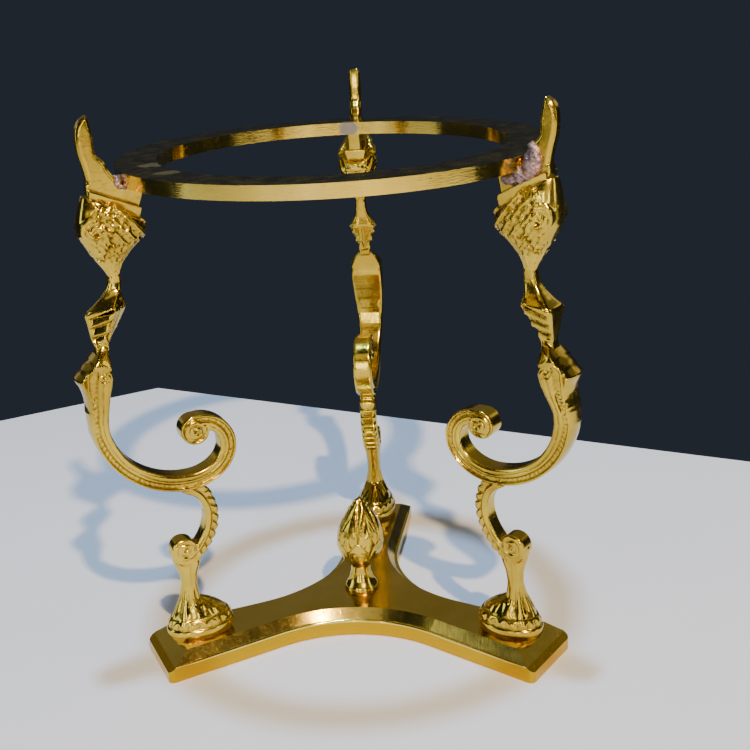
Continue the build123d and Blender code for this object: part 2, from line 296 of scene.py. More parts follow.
def ribbon(route, section):
    """Bar along a route of (r, z, half thickness). section(off, along, half, y, side) gives its distance."""
    route = np.array(route, float)
    length = np.concatenate([[0], np.cumsum(np.hypot(*np.diff(route[:, :2], axis=0).T))])

    def solid(x, y, z):
        best = np.full(np.broadcast(x, z).shape, 1e9)
        off, along, half = np.zeros_like(best), np.zeros_like(best), np.ones_like(best)
        for i in range(len(route) - 1):
            a, b = route[i], route[i + 1]
            way = b[:2] - a[:2]
            px, pz = x - a[0], z - a[1]
            t = np.clip((px * way[0] + pz * way[1]) / (way @ way), 0, 1)
            dx, dz = px - t * way[0], pz - t * way[1]
            distance = np.hypot(dx, dz)
            thick = a[2] + t * (b[2] - a[2])
            better = distance - thick < best
            best = np.where(better, distance - thick, best)
            off = np.where(better, np.sign(way[0] * dz - way[1] * dx) * distance, off)
            along = np.where(better, length[i] + t * (length[i + 1] - length[i]), along)
            half = np.where(better, thick, half)
        return section(off, along, half, best, y)

    return solid


# ---------------------------------------------------------------- one leg: r outwards, y across, z up
FOOT_RIM = [
    (BASE_TOP, 50.9, 8.9, 6.0), (BASE_TOP + 2.3, 50.9, 9.7, 6.7),
    (BASE_TOP + 3.2, 50.9, 9.7, 6.7), (BASE_TOP + 3.7, 50.9, 9.2, 6.2),
]
FOOT_BAND = [
    (BASE_TOP + 3.0, 50.9, 8.6, 5.7), (BASE_TOP + 4.0, 50.9, 9.0, 6.1),
    (BASE_TOP + 5.2, 50.9, 8.9, 6.0), (BASE_TOP + 6.2, 50.9, 8.4, 5.6),
]
FOOT_DOME = [
    (BASE_TOP + 5.4, 50.9, 8.3, 5.5), (BASE_TOP + 6.8, 50.9, 7.5, 5.1), (BASE_TOP + 8.4, 51.1, 5.9, 4.4),
    (BASE_TOP + 10.0, 51.6, 3.9, 3.3), (BASE_TOP + 11.0, 52.0, 2.4, 2.3),
]
STEM = [
    (BASE_TOP + 5.6, 54.2, 4.6, 4.6), (BASE_TOP + 8.4, 53.9, 3.7, 3.7), (BASE_TOP + 11.5, 53.4, 2.8, 2.7),
    (BASE_TOP + 15.6, 53.1, 2.25, 2.1), (BASE_TOP + 18.6, 53.0, 2.5, 2.15), (BASE_TOP + 21.4, 52.9, 3.4, 2.4),
    (BASE_TOP + 24.0, 53.0, 4.2, 2.5), (BASE_TOP + 26.6, 53.3, 4.3, 2.5),
]
BALL = (53.4, 34.4)
EYE = (45.6, 69.0)
TURN = (49.0, 64.0)
PINCH_Z, KNOP_Z, NECK_Z = 97.0, 106.2, 113.6
KNOP_R, NECK_R = 63.8, 61.0
HEAD = [
    (NECK_Z - 1.4, NECK_R, 1.6, 1.6), (NECK_Z + 0.8, NECK_R, 1.55, 1.55), (NECK_Z + 2.6, 61.2, 2.2, 2.0),
    (NECK_Z + 4.8, 61.4, 3.5, 2.8), (NECK_Z + 7.8, 61.0, 5.8, 4.1), (NECK_Z + 10.2, 60.5, 7.7, 5.0),
    (NECK_Z + 12.4, 60.5, 8.8, 5.6), (NECK_Z + 14.6, 60.8, 8.6, 5.6), (NECK_Z + 17.0, 61.0, 8.1, 5.3),
    (NECK_Z + 19.2, 61.1, 7.5, 4.7), (NECK_Z + 21.2, 61.4, 6.6, 3.7), (NECK_Z + 22.6, 62.2, 5.2, 3.0),
    (NECK_Z + 24.0, 63.2, 3.4, 2.3),
]
# heights of a scroll's side face across its bar, from the hollow edge to the outward one
SIDE_RELIEF = [
    (-1.3, -0.6), (-0.95, -0.25), (-0.62, 0.02), (-0.38, -0.16), (-0.2, 0.12), (-0.04, -0.05),
    (0.14, -0.66), (0.56, -0.66), (0.74, 0.08), (0.95, -0.2), (1.3, -0.6),
]


def big_scroll_route():
    """Down the back, round the bottom, up the turn, over the curl and in to the eye."""
    route = [(68.4, 89.4, 3.8), (68.8, 87.2, 3.6), (69.4, 84.0, 3.0), (70.2, 80.6, 2.55), (71.0, 77.6, 2.4)]
    low = arc((49.0, 77.0), (22.3, 22.3), -4, -90)[1:]
    route += [(r, z, 2.4 - 0.1 * n / len(low)) for n, (r, z) in enumerate(low)]
    turn = arc(TURN, (11.8, 9.3), 270, 180)[1:]
    route += [(r, z, 2.3) for r, z in turn]
    curl = arc((44.5, 64.0), (7.3, 7.35), 180, 96)[1:]
    route += [(r, z, 2.3 - 0.3 * n / len(curl)) for n, (r, z) in enumerate(curl)]
    count = 40
    for n in range(1, count + 1):
        share = n / count
        turned = radians(90 - 440 * share)
        reach = 2.3 + 0.3 * sin(pi * min(share * 2.5, 1)) - 2.1 * max(share - 0.35, 0) / 0.65
        route.append((EYE[0] + reach * cos(turned), EYE[1] + reach * sin(turned), 2.0 - 1.15 * share))
    return route


def small_scroll_route():
    """From the web under the big scroll, bulging inwards, down round the ball and in to its middle."""
    guides = [
        (50.5, 53.6), (46.8, 50.8), (45.0, 46.6), (44.9, 42.4), (46.4, 38.0), (49.2, 34.0), (51.6, 32.0),
    ]
    down = spline(guides, 8)
    route = [(r, z, 2.3 - 0.5 * min(n / 16, 1)) for n, (r, z) in enumerate(down)]
    count = 34
    for n in range(count + 1):
        share = n / count
        turned = radians(-110 + 400 * share)
        reach = 2.8 - 0.25 * rise(share, 0, 0.3) - 2.3 * max(share - 0.4, 0) / 0.6
        route.append((BALL[0] + reach * cos(turned), BALL[1] + reach * sin(turned), 1.8 - 0.75 * share))
    return route


def crown(y, along):
    """How far the outward face of the big scroll's back falls away from its middle line."""
    return 0.045 * y ** 2 * (1 - rise(along, 22, 44))


def big_section(off, along, half, best, y):
    """Bar with a raised border along each edge of its side faces, a roll and a grained channel."""
    wide = np.interp(along, [3, 8, 28, 60], [5.0, 4.8, 3.3, 2.75])
    across = off / half
    grain = 0.09 * lumps(off, along, y * 0, 1.2, 3) * bump(across, 0.36, 0.35)
    side = wide + through(across, SIDE_RELIEF, 1) + grain
    return smooth_max(best + crown(y, along) * (off > 0), np.abs(y) - side, 0.4)


def small_section(off, along, half, best, y):
    """Bar whose inward side is cut into slanting saw teeth, with a raised line beside its hollow edge."""
    on_bar = rise(along, 4.0, 6.5) * (1 - rise(along, 25, 28))
    across = off / half
    phase = ((along - 1.1 * np.clip(-across, 0, 1)) / 2.35) % 1.0
    inward = rise(-across, -0.05, 0.25)
    tooth = on_bar * inward * (0.5 - 0.85 * phase ** 1.4)
    side = 2.5 + 0.22 * bump(across, 0.35, 0.3) - 0.3 * bump(across, 0.02, 0.2) - 0.3 * np.abs(across) ** 4
    side = side - on_bar * inward * 0.55 * rise(phase, 0.35, 1.0)
    return smooth_max(best - 0.75 * tooth * (off < 0), np.abs(y) - side, 0.4)


def disc(centre, radius, half):
    """Round plate in the leg's plane, for the filled middle of a scroll."""
    def solid(x, y, z):
        reach = np.hypot(x - centre[0], z - centre[1]) - radius
        return smooth_max(reach, np.abs(y) - half, 0.5)

    return solid


def spiral(centre, radius, pitch, height, hand=1):
    """Relief of a spiral roll about a scroll's eye, fading out at the radius."""
    def relief(x, y, z):
        reach = np.hypot(x - centre[0], z - centre[1])
        turned = hand * np.arctan2(z - centre[1], x - centre[0]) / (2 * pi)
        roll = np.abs((reach / pitch - turned) % 1.0 - 0.5) * 2
        return height * (0.5 - roll) * (1 - rise(reach, radius - 0.7, radius))

    return relief


# the shoulder's outline: up its hollow side to the pinch, over the roof to the spur, and down its back
SHOULDER = [
    (68.4, 76.0), (67.8, 81.0), (66.5, 84.8), (65.0, 88.6), (64.6, 91.0), (64.4, 93.0), (64.3, 97.4),
    (66.8, 97.4), (67.4, 95.6), (70.2, 92.6), (73.8, 89.3), (73.6, 88.3), (72.8, 86.6), (72.3, 83.9),
    (72.3, 82.5), (73.2, 79.6), (73.1, 76.0),
]
SHOULDER_HALF_Y = ([62, 90, 93.0, 94.2, 95.2, 96.2, 97.4], [3.0, 5.0, 5.0, 4.5, 3.5, 2.45, 1.75])  # by height


def shoulder(x, y, z):
    """Body of the back's top: an arched block that narrows up to the pinch, with a roof out to the spur."""
    across = np.abs(y) / 4.8
    roof = 96.4 - 1.0 * (x - 66.6) - 1.1 * across ** 2
    hollow_side = 91.2 + 0.85 * (x - 64.4) + 7 * (1 - np.minimum(across, 1) ** 2)
    half = np.interp(z, *SHOULDER_HALF_Y)
    inset = 0.75 * (1 - rise(z, 90.4, 92.6)) * (1 - rise(x, 71.6, 72.4))
    flat = outline(SHOULDER, x, z) + 0.045 * y ** 2 * (x > 69)
    body = smooth_max(flat, np.abs(y) - half + inset, 0.3)
    return smooth_max(body, 0.75 * np.maximum(z - roof, z - hollow_side), 0.25)


def knop(field):
    """Upside-down pyramid that stands on the pinch, with a square top that narrows up to the neck."""
    rim = KNOP_Z
    pyramid = [
        (PINCH_Z - 1.2, 65.6, 1.75, 1.65), (PINCH_Z + 0.4, 65.3, 1.75, 1.65), (rim - 0.3, KNOP_R, 4.5, 4.5),
    ]
    top = [
        (rim - 0.3, KNOP_R, 4.5, 4.5), (rim + 0.3, 63.7, 4.4, 4.4), (rim + 1.4, 63.1, 3.6, 3.5),
        (rim + 3.0, 62.3, 2.7, 2.6), (rim + 4.8, 61.6, 2.05, 1.95), (rim + 6.4, 61.2, 1.7, 1.65),
        (NECK_Z + 1.0, NECK_R, 1.55, 1.55),
    ]
    field.join((50, -9, 95), (75, 9, 107), stack(pyramid, 9.0, smooth=False), 0.3)
    field.join((50, -9, 105.5), (75, 9, 115.5), stack(top, 4.0), 0.12)

    def steps(x, y, z):
        """Three sloping ledges on the two side faces, and a crease down the inner one."""
        tilt = z + 0.26 * (x - KNOP_R)
        phase = ((rim - 0.7 - tilt) / 2.5) % 1.0
        on = rise(rim - 0.5 - tilt, 0, 0.3) * (1 - rise(rim - 0.7 - tilt, 7.1, 7.5))
        side_face = rise(np.abs(y) - np.abs(x - 64.2), -1.3, -0.5) * (1 - rise(x, 66.0, 67.2))
        crease = 0.35 * bump(y, 0.5, 0.45) * (x < 63.4) * (1 - rise(z, rim - 1.2, rim - 0.4))
        return -1.15 * on * side_face * (1 - phase) ** 1.3 * rise(phase, 0, 0.12) - crease

    field.raise_by((50, -9, 98), (75, 9, 106.4), steps)


def slant_at(x, z):
    """Distance across the head's slanting lines."""
    return 0.73 * x - 0.68 * z


def head_relief(x, y, z):
    """Long locks that slant down the inner part, ruffled wool in the middle, and a smooth muzzle."""
    side = np.abs(y)
    up = z - NECK_Z
    slant = slant_at(x, z)
    lock = np.abs(((slant + 0.12 * lumps(x, side, z, 5.0, 5)) / 2.5) % 1.0 - 0.5) * 2
    hem = 8.6 + 0.18 * np.abs(x - 60.0)
    on = (1 - rise(x, 60.8, 63.0)) * rise(up, hem, hem + 1.2) * (1 - rise(up, 19.8, 21.4))
    on = on * (0.35 + 0.65 * rise(side, 1.2, 3.4))
    locks = on * (0.5 * bump(lock, 0.0, 0.55) - 0.12 + 0.06 * lumps(x, side, z, 1.0, 8))
    diagonal = (x - 61.0) + 0.55 * np.minimum(up - 9.0, 0) + 0.15 * np.maximum(up - 9.0, 0)
    wool_zone = rise(diagonal, -4.5, -2.0) * (1 - rise(diagonal, 4.6, 6.4))
    wool_zone = wool_zone * rise(up, 3.6, 5.4) * (1 - rise(up, 20, 22.5)) * (0.3 + 0.7 * rise(side, 1.0, 3.0))
    ruffle = np.abs(((slant + 0.5 * lumps(x, side, z, 4.0, 31)) / 1.35) % 1.0 - 0.5) * 2
    wool = wool_zone * (0.26 * lumps(x, side, z, 1.9, 11) + 0.3 * (ruffle - 0.5))
    teeth = 0.3 * bump(up, hem + 0.2, 1.0) * np.cos(2 * pi * x / 1.7) * (1 - rise(x, 62.5, 64.5))
    bridge = 0.35 * bump(x, 61.0, 0.9) * rise(up, 1.5, 3.0) * (1 - rise(up, 7.4, 9.4))
    brow = 0.3 * bump(slant, slant_at(64.6, 124.5), 0.7) * rise(x, 62.6, 63.4)
    brow = brow * rise(up, 6, 8) * (1 - rise(up, 14, 16))
    return locks + wool + teeth + bridge + brow


def horn(field):
    """Slender horn on each side: a band that curls over the ear and ends in a point, outside it."""
    centre = (65.5, 127.2)
    field.join((60, -9, 122), (76, 9, 134), disc((65.0, 127.2), 2.9, 3.7), 1.2)
    field.raise_by((50, -9, 122), (76, 9, 134), spiral(centre, 2.6, 1.3, 0.45))
    sweep = arc(centre, (2.95, 2.95), 160, -28, 26)
    route = [(r, z, 0.9 - 0.6 * (n / 25) ** 3) for n, (r, z) in enumerate(sweep)]

    def band(off, along, half, best, y):
        reach = np.maximum(np.abs(np.abs(y) - 3.0) - 0.9, 0)
        return np.hypot(np.maximum(best + half, 0), reach) - half

    field.join((60, -9, 120), (76, 9, 136), ribbon(route, band), 0.18)


def blade_outline():
    """Ledge under the ring, seat against its rim, S-shaped shoulder, and the pointed leaf."""
    back = spline(
        [
            (66.2, SEAT - 2.0), (66.5, SEAT + 0.3), (66.2, SEAT + 2.5), (66.6, SEAT + 5.5),
            (67.4, SEAT + 9.1), (67.6, SEAT + 12.5), (67.1, SEAT + 15.3), (66.1, SEAT + 17.0),
        ],
        7,
    )
    front = spline(
        [
            (64.3, TIP - 0.1), (63.8, TIP - 2.0), (63.3, SEAT + 13.0), (63.2, SEAT + 9.0), (62.3, SEAT + 7.7),
            (61.1, SEAT + 6.4), (60.3, SEAT + 4.4), (RING_R + 0.8, SEAT + 2.4),
        ],
        7,
    )
    foot = [(RING_R + 0.5, SEAT), (51.8, SEAT), (53.4, SEAT - 5.4), (60.0, SEAT - 8.0)]
    return back + front + foot


def blade(x, y, z):
    """The blade's plate, with bevelled edges that are widest on its back."""
    flat = outline(blade_outline(), x, z)
    bevel = 0.7 * (flat + 0.75) + 0.7 * (np.abs(y) - 1.75)
    return highest(flat, np.abs(y) - 1.75, np.where(z > SEAT + 1.5, bevel, -1.0))


def collar_low(x):
    """Height of the collar's lower edge, which the head's top follows."""
    return SEAT - 1.9 - 0.52 * (66.3 - x)


def collar(x, y, z):
    """Band under the blade that slopes down inwards and leans out over the head."""
    top = SEAT + 0.1 - 0.436 * (66.0 - x)
    low = collar_low(x)
    share = np.clip((z - low) / (top - low), 0, 1)
    half = 2.5 + 0.85 * share
    ends = np.maximum(53.6 - 0.5 * share - x, x - 66.1)
    return highest(np.abs(y) - half, ends, 0.88 * (low - z), 0.88 * (z - top))


def foot_turn(x, y):
    return np.arctan2(y / 6.0, (x - 50.9) / 9.0)


def sculpt_leg():
    """Field of one leg in its own plane; the three legs are this casting, each bent a little."""
    field = Field((32.5, -8.0, BASE_TOP - 0.8), (78.0, 8.0, TIP + 0.8), STEP)
    foot_low, foot_high = (38, -8, BASE_TOP - 1), (64, 8, BASE_TOP + 14)
    field.join(foot_low, foot_high, stack(FOOT_RIM))
    field.join(foot_low, foot_high, stack(FOOT_BAND), 0.15)
    field.join(foot_low, foot_high, stack(FOOT_DOME), 0.25)

    def beads(x, y, z):
        ring = bump(z, BASE_TOP + 4.7, 1.3)
        return ring * (0.5 * np.abs(np.cos(foot_turn(x, y) * 8)) - 0.25)

    def dome_leaves(x, y, z):
        zone = rise(z, BASE_TOP + 6.2, BASE_TOP + 7.4) * (1 - rise(z, BASE_TOP + 9.2, BASE_TOP + 10.6))
        return 0.22 * zone * np.abs(np.cos(foot_turn(x, y) * 7)) - 0.1 * zone

    field.raise_by((38, -8, BASE_TOP + 3), (64, 8, BASE_TOP + 6.4), beads)
    field.raise_by((38, -8, BASE_TOP + 6), (64, 8, BASE_TOP + 11), dome_leaves)
    stem = stack(STEM)

    def fluted(x, y, z):
        turned = np.arctan2(y, x - 53.6)
        low = 1 - rise(z, BASE_TOP + 8, BASE_TOP + 16)
        return stem(x, y, z) - (0.05 + 0.42 * low) * (np.abs(np.cos(turned * 3.5)) * 2 - 1)

    field.join((46, -8, BASE_TOP + 5), (61, 8, 35), fluted, 0.5)
    field.join((33, -6, 28), (62, 6, 56), ribbon(small_scroll_route(), small_section), 0.5)
    field.join((48, -6, 29), (60, 6, 41), disc(BALL, 3.2, 2.3), 0.6)
    field.raise_by((49, -6, 30), (58, 6, 39), spiral(BALL, 3.6, 1.9, 0.35))
    field.join((33, -8, 48), (78, 8, 98), ribbon(big_scroll_route(), big_section), 0.35)
    field.join((36, -6, 60), (54, 6, 75), disc((EYE[0] - 0.2, EYE[1] - 0.4), 3.3, 2.45), 0.9)
    field.raise_by((40, -6, 64), (51, 6, 75), spiral(EYE, 3.6, 2.0, 0.45, -1))
    field.join((62, -8, 74), (78, 8, 99), shoulder, 0.3)
    field.raise_by((62, -8, 86), (70, 8, 92.5), spiral((66.8, 89.4), 1.9, 1.2, 0.45))
    knop(field)
    head = stack(HEAD, 2.6)

    def head_below_collar(x, y, z):
        return smooth_max(head(x, y, z), 0.88 * (z - collar_low(x) - 0.2), 0.3)

    field.join((48, -8, NECK_Z - 3), (76, 8, 139), head_below_collar, 0.5)
    field.raise_by((48, -8, NECK_Z), (76, 8, 136), head_relief)
    horn(field)
    field.join((48, -8, SEAT - 12), (74, 8, SEAT + 1), collar, 0.2)
    field.join((48, -4, SEAT - 9), (74, 4, TIP + 0.6), blade)
    return field.skin()


# each leg's own shape: (height, shift outwards, lift), then the knop's turn in degrees
BENDS = {
    "rear": [
        (0, 0.0, 0.0), (60, 0.0, 0.0), (97, 0.3, -0.8), (113, 0.2, -0.8), (126, 0.0, -0.5), (137, 0.0, 0.0),
    ],
    "left": [
        (10, 0.0, 0.0), (34, -0.4, 0.0), (55, 0.3, 0.0), (77, 1.2, 0.0), (86, 2.5, 0.0), (97, 2.9, -0.4),
        (106, 2.1, 0.2), (113, 1.9, 0.0), (126, 1.5, 0.0), (137, 0.7, 0.0), (156, 0.4, 0.3),
    ],
    "right": [
        (10, 0.4, 0.0), (34, -0.2, 0.0), (55, -1.0, 0.0), (77, -1.5, -0.8), (86, -1.5, -2.6),
        (97, -1.1, -3.0), (106, -1.5, -2.7), (113, -1.7, -2.6), (126, -1.6, -1.6), (136, -0.9, 0.0),
        (156, 0.0, -0.4),
    ],
}
KNOP_TURN = {"rear": 6.0, "left": -38.0, "right": 0.0}
RIM_TILT = 0.12  # rise of the knop's rim towards the stand's axis, per millimetre


def place(points, angle):
    a = radians(angle)
    turned = points.copy()
    turned[:, 0] = points[:, 0] * cos(a) - points[:, 1] * sin(a)
    turned[:, 1] = points[:, 0] * sin(a) + points[:, 1] * cos(a)
    return turned


def bend(points, name):
    """The casting as this leg has it: its knop turned and tilted, then all of it shifted and lifted."""
    bent = points.copy()
    z = points[:, 2]
    above_knop = rise(z, KNOP_Z + 0.6, NECK_Z)
    turn = np.radians(KNOP_TURN[name]) * rise(z, PINCH_Z - 0.5, PINCH_Z + 2.5) * (1 - above_knop)
    axis = np.interp(z, [PINCH_Z, KNOP_Z, NECK_Z], [65.3, KNOP_R, NECK_R])
    x, y = points[:, 0] - axis, points[:, 1]
    bent[:, 0] = axis + x * np.cos(turn) - y * np.sin(turn) + through(z, BENDS[name], 1)
    bent[:, 1] = x * np.sin(turn) + y * np.cos(turn)
    rim_tilt = RIM_TILT * rise(z, PINCH_Z + 2, KNOP_Z) * (1 - above_knop)
    bent[:, 2] = z + through(z, BENDS[name], 2) - x * rim_tilt
    return bent


def make_legs():
    vertices, quads = sculpt_leg()
    legs = []
    for name, angle in LEG_ANGLES.items():
        leg = make_object(f"cast_leg_{name}", place(bend(vertices, name), angle), quads)
        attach(leg, "root")
        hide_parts(f"leg_{name}")
        legs.append(leg)
    return legs


# ---------------------------------------------------------------- finial
FINIAL = [
    (BASE_TOP, 0, 5.3, 5.3), (BASE_TOP + 1.2, 0, 5.0, 5.0), (BASE_TOP + 3.2, 0, 3.8, 3.8),
    (BASE_TOP + 5.4, 0, 3.1, 3.1), (BASE_TOP + 7.4, 0, 2.9, 2.9), (BASE_TOP + 8.6, 0, 3.3, 3.3),
    (BASE_TOP + 10.4, 0, 4.8, 4.8), (BASE_TOP + 12.4, 0, 5.9, 5.9), (BASE_TOP + 14.4, 0, 6.5, 6.5),
    (BASE_TOP + 16.4, 0, 6.7, 6.7), (BASE_TOP + 18.4, 0, 6.5, 6.5), (BASE_TOP + 20.4, 0, 5.9, 5.9),
    (BASE_TOP + 22.4, 0, 5.0, 5.0), (BASE_TOP + 24.4, 0, 3.9, 3.9), (BASE_TOP + 26.4, 0, 2.7, 2.7),
    (BASE_TOP + 28.4, 0, 1.3, 1.3), (BASE_TOP + 29.4, 0, 0.5, 0.5),
]
# each row of leaves: start, length, turn in leaves, height above the bud
LEAF_ROWS = [(-1.2, 9.6, 0.0, 0.85), (2.6, 18.2, 0.5, 0.5)]


def make_finial():
    """Turned pedestal and leafed bud, which lean a little to the right as they rise."""
    body = stack(FINIAL)
    bud_low = BASE_TOP + 8.6

    def leaves(x, y, z):
        """Two rows of six pointed leaves with raised edges, the lower row lapping over the upper."""
        turned = np.arctan2(y, x) / (2 * pi)
        total = np.full(np.broadcast(x, y, z).shape, -0.3)
        for start, tall, offset, proud in LEAF_ROWS:
            round_leaf = ((turned * 6 + offset) % 1.0 - 0.5) * 2
            up = np.clip((z - bud_low - start) / tall, 0, 1)
            edge = 1.04 * np.sqrt(1 - up ** 2.2) - np.abs(round_leaf)
            rim = 0.3 * bump(edge, 0.10, 0.12)
            rib = 0.3 * bump(round_leaf, 0, 0.14) * (1 - up)
            wave = np.cos(2 * pi * (up * 4.5 + np.abs(round_leaf) * 1.4))
            ruffle = 0.12 * wave * bump(np.abs(round_leaf), 0.45, 0.4)
            height = (proud + rim + rib + ruffle) * rise(edge, 0.0, 0.12) - 0.3
            total = np.maximum(total, height)
        return total * rise(z, bud_low + 0.1, bud_low + 1.6) * (1 - rise(z, BASE_TOP + 28.4, BASE_TOP + 29.6))

    field = Field((-9, -9, BASE_TOP - 0.8), (9, 9, BASE_TOP + 31), STEP)
    field.join((-9, -9, BASE_TOP - 1), (9, 9, BASE_TOP + 31), body)
    field.raise_by((-9, -9, bud_low), (9, 9, BASE_TOP + 30), lambda x, y, z: 0.7 * leaves(x, y, z))
    vertices, quads = field.skin()
    vertices[:, 0] += 0.035 * np.maximum(vertices[:, 2] - BASE_TOP - 5, 0)
    finial = make_object("bud_finial", vertices, quads)
    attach(finial, "root")
    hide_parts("finial")
    return finial


# ---------------------------------------------------------------- beads along the foot of the base's bevel
def bevel_foot(middle):
    """Even points along one hollow side of the base, anticlockwise, and the way outwards at each of them."""
    base = NODES["base_plate"]
    corners = np.array([base.matrix_world @ v.co for v in base.data.vertices]) / MM
    line = corners[np.abs(corners[:, 2] - BEVEL_FOOT) < 0.02, :2]
    off = (np.degrees(np.arctan2(line[:, 1], line[:, 0])) - middle + 180) % 360 - 180
    kept = []
    for n in np.argsort(off):
        if abs(off[n]) < BEAD_SWEEP and (not kept or np.hypot(*(line[n] - kept[-1])) > 0.4):
            kept.append(line[n])
    path = np.array(kept)
    length = np.concatenate([[0], np.cumsum(np.hypot(*np.diff(path, axis=0).T))])
    at = np.linspace(0, length[-1], BEAD_COUNT)
    path = np.stack([np.interp(at, length, path[:, k]) for k in (0, 1)], 1)
    way = np.gradient(path, axis=0)
    return path, np.stack([way[:, 1], -way[:, 0]], 1) / np.hypot(*way.T)[:, None]


def bead_mesh(path, outward):
    """Closed round bar along the path, thinner towards its two ends."""
    share = np.linspace(0, 1, BEAD_COUNT)
    thick = BEAD_R * (0.25 + 0.75 * np.minimum(rise(share, 0, 0.06), 1 - rise(share, 0.94, 1)))
    points, quads, sides = [], [], BEAD_SIDES
    for p, o, t in zip(path, outward, thick):
        for k in range(sides):
            a = 2 * pi * k / sides
            spot = p + o * (t * cos(a) - 0.1 * BEAD_R)
            points.append((spot[0], spot[1], BEVEL_FOOT + t * sin(a)))
    for i in range(BEAD_COUNT - 1):
        for k in range(sides):
            a, b = i * sides + k, i * sides + (k + 1) % sides
            quads.append((a + sides, b + sides, b, a))
    last = (BEAD_COUNT - 1) * sides
    for k in range(1, sides - 2, 2):
        quads.append((0, k, k + 1, k + 2))
        quads.append((last + k + 2, last + k + 1, last + k, last))
    return np.array(points), np.array(quads)


def make_beads():
    """A fine round line along each hollow side of the base, where its bevel meets its lower face."""
    beads = []
    for name, middle in (("right", 30.0), ("left", 150.0), ("front", 270.0)):
        bead = make_object(f"bead_{name}", *bead_mesh(*bevel_foot(middle)))
        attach(bead, "root")
        beads.append(bead)
    return beads


# ---------------------------------------------------------------- brazing metal, in blobs of (r, y, z, radius)
BRAZE = {
    "rear": [
        (59.6, 1.2, 138.4, 1.5), (59.6, -1.2, 138.2, 1.5), (58.8, 2.3, 137.9, 1.0), (58.6, -2.3, 137.6, 1.1),
        (57.0, -2.0, 136.7, 0.7),
    ],
    "left": [
        (59.2, 0.0, 138.4, 1.6), (59.3, 1.5, 138.6, 0.75), (59.2, 1.5, 137.6, 0.7), (58.6, 1.6, 136.8, 0.65),
        (57.4, 1.6, 136.5, 0.6), (55.9, 1.6, 136.4, 0.55), (54.2, 1.6, 136.3, 0.5), (59.2, -1.6, 137.6, 0.9),
    ],
    "right": [
        (60.9, -1.4, 143.0, 1.0), (61.9, -1.7, 141.6, 1.4), (62.3, -1.8, 139.6, 1.7),
        (60.6, -2.1, 138.6, 1.9), (62.0, -1.8, 137.3, 1.6), (60.4, -2.2, 136.0, 1.7),
        (58.2, -2.2, 135.2, 1.6), (55.9, -2.0, 134.7, 1.5), (53.7, -1.8, 134.6, 1.3),
        (58.8, 1.9, 138.0, 1.4), (59.8, 0.0, 140.2, 1.6), (57.4, -2.0, 136.6, 1.5),
    ],
}


def make_braze(name):
    """A few blobs of metal run together in the corner between ring and blade, with a rough skin."""
    low, high = (50, -7, SEAT - 5), (64, 7, SEAT + 9)
    field = Field(low, high, STEP)
    for r, y, z, radius in BRAZE[name]:
        def blob(x, yy, zz, r=r, y=y, z=z, radius=radius):
            return np.sqrt((x - r) ** 2 + (yy - y) ** 2 + (zz - z) ** 2) - radius

        field.join(low, high, blob, 0.9)
    field.raise_by(low, high, lambda x, y, z: 0.16 * lumps(x, y, z, 1.0, 21) + 0.1 * lumps(x, y, z, 2.2, 22))
    vertices, quads = field.skin()
    braze = make_object(f"braze_bead_{name}", place(vertices, LEG_ANGLES[name]), quads)
    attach(braze, "root")
    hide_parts(f"braze_{name}")
    return braze


# ---------------------------------------------------------------- materials
class Nodes:
    """Short hand for one material's node tree."""

    def __init__(self, name):
        self.material = bpy.data.materials.new(name)
        self.material.use_nodes = True
        self.tree = self.material.node_tree
        self.shader = self.tree.nodes["Principled BSDF"]
        self.where = self.add("ShaderNodeTexCoord").outputs["Object"]

    def add(self, kind, **values):
        node = self.tree.nodes.new(kind)
        for key, value in values.items():
            if hasattr(node, key):
                setattr(node, key, value)
            else:
                self.set(node.inputs[key.replace("_", " ")], value)
        return node

    def set(self, socket, value):
        if isinstance(value, bpy.types.NodeSocket):
            self.tree.links.new(value, socket)
        else:
            socket.default_value = value

    def noise(self, scale, detail=4.0, roughness=0.55, stretch=(1, 1, 1)):
        mapping = self.add("ShaderNodeMapping")
        self.set(mapping.inputs["Vector"], self.where)
        mapping.inputs["Scale"].default_value = stretch
        noise = self.add("ShaderNodeTexNoise")
        self.set(noise.inputs["Vector"], mapping.outputs[0])
        noise.inputs["Scale"].default_value = scale
        noise.inputs["Detail"].default_value = detail
        noise.inputs["Roughness"].default_value = roughness
        return noise.outputs["Fac"]

    def span(self, value, low, high, to_low=0.0, to_high=1.0):
        node = self.add("ShaderNodeMapRange")
        self.set(node.inputs["Value"], value)
        for key, number in (("From Min", low), ("From Max", high), ("To Min", to_low), ("To Max", to_high)):
            node.inputs[key].default_value = number
        return node.outputs["Result"]

    def mix(self, factor, a, b):
        node = self.add("ShaderNodeMix", data_type="RGBA")
        self.set(node.inputs["Factor"], factor)
        self.set(node.inputs[6], a)
        self.set(node.inputs[7], b)
        return node.outputs[2]

    def math(self, operation, a, b=0.0):
        node = self.add("ShaderNodeMath", operation=operation)
        self.set(node.inputs[0], a)
        self.set(node.inputs[1], b)
        return node.outputs[0]

    def bump(self, height, strength, distance, under=None):
        node = self.add("ShaderNodeBump")
        node.inputs["Strength"].default_value = strength
        node.inputs["Distance"].default_value = distance
        self.set(node.inputs["Height"], height)
        if under is not None:
            self.set(node.inputs["Normal"], under)
        return node.outputs["Normal"]


